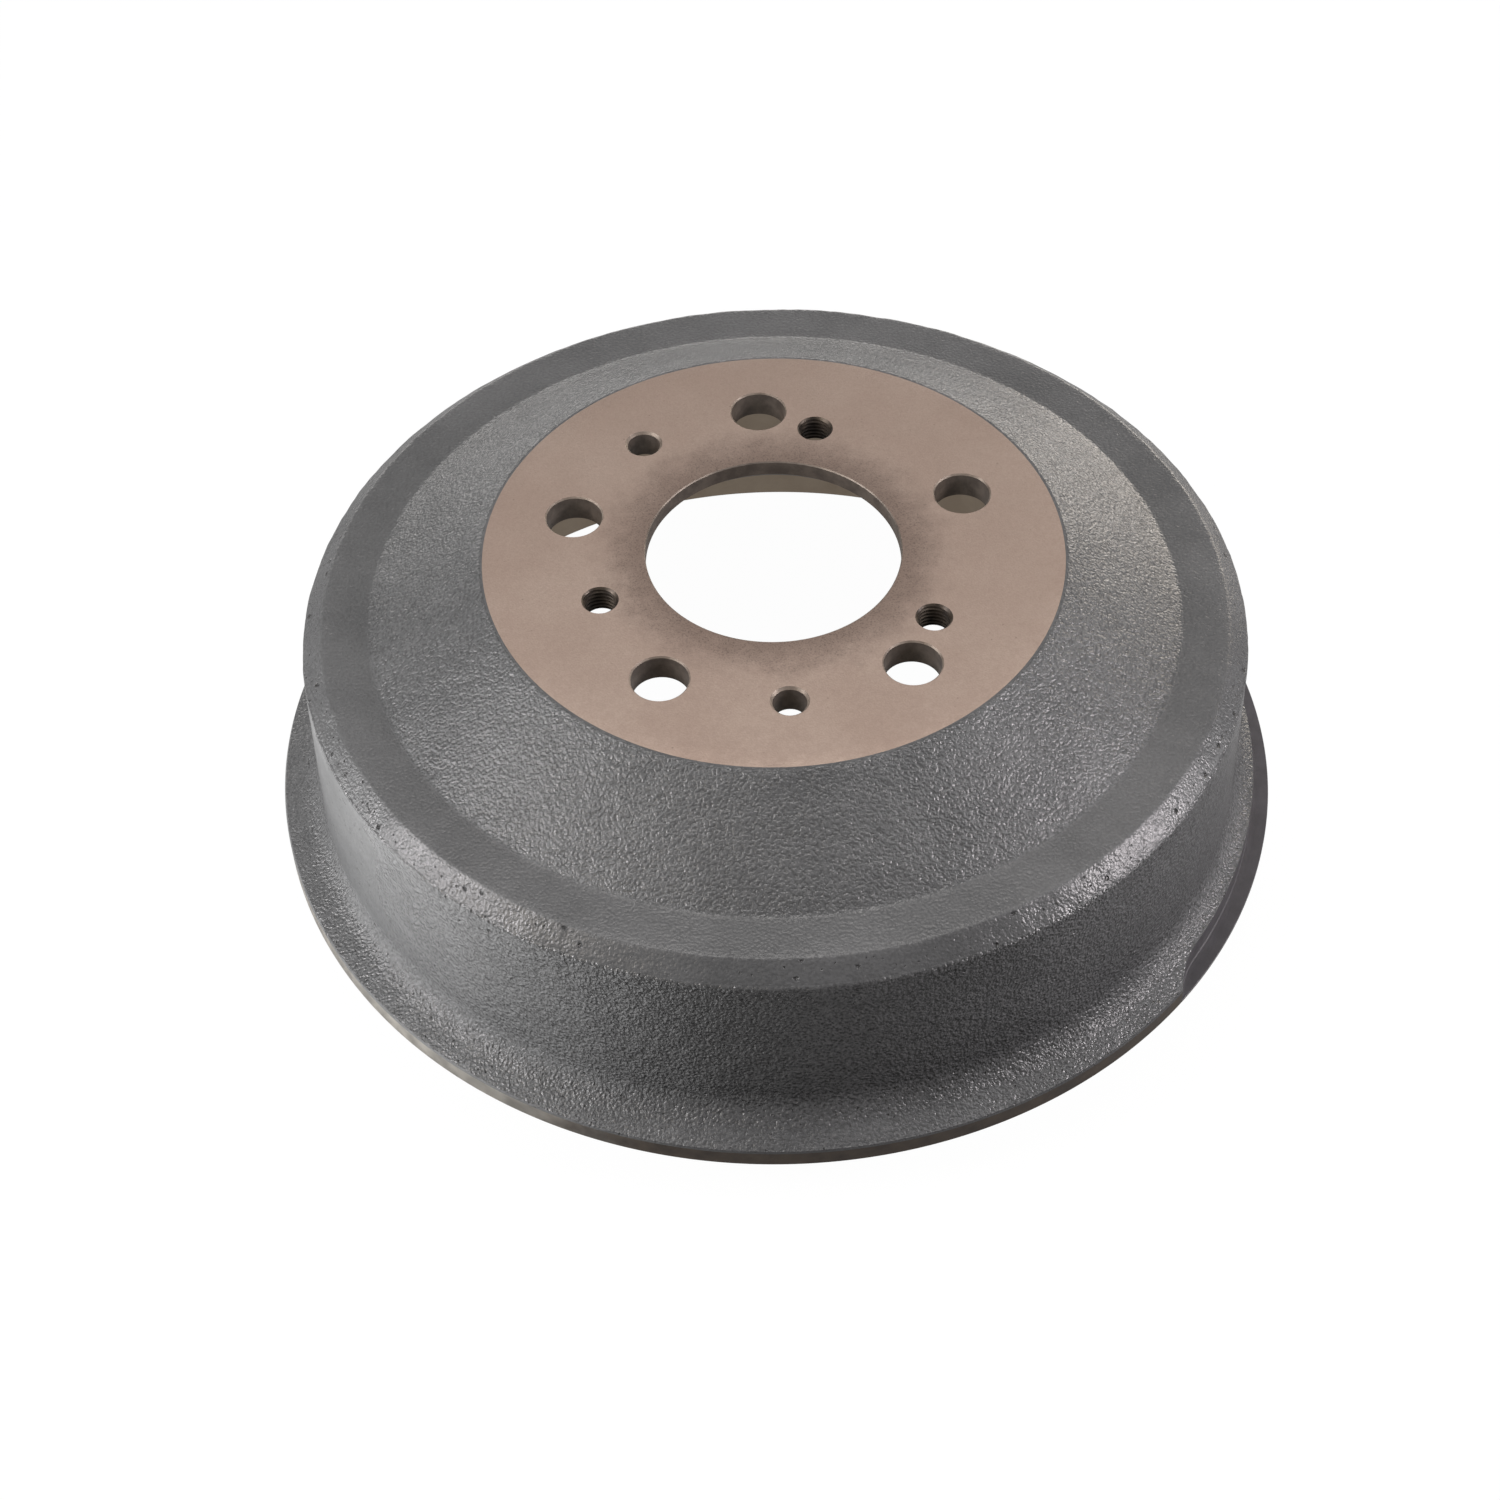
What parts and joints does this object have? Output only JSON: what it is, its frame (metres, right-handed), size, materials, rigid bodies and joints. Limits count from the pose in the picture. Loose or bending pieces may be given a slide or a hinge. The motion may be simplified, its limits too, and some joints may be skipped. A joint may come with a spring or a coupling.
{
  "type": "brake drum",
  "caption": "Cast iron brake drum with a conical crown, a turned hub face with wheel stud holes, a deep side wall and a flanged open rim with a balance cut.",
  "frame": {"origin": "on the wheel axis, in the plane of the open rim's end face", "axes": "+Z along the wheel axis, from the open rim to the hub face; +X 21 degrees clockwise of the first stud hole seen from the hub side, so that -Y is the side the picture shows"},
  "size_m": [0.29, 0.29, 0.0978],
  "materials": {
    "casting": "satin dark grey paint on the cast surfaces, bare where turned"
  },
  "bodies": {
    "root": {"brake_drum": "casting"}
  },
  "joints": []
}
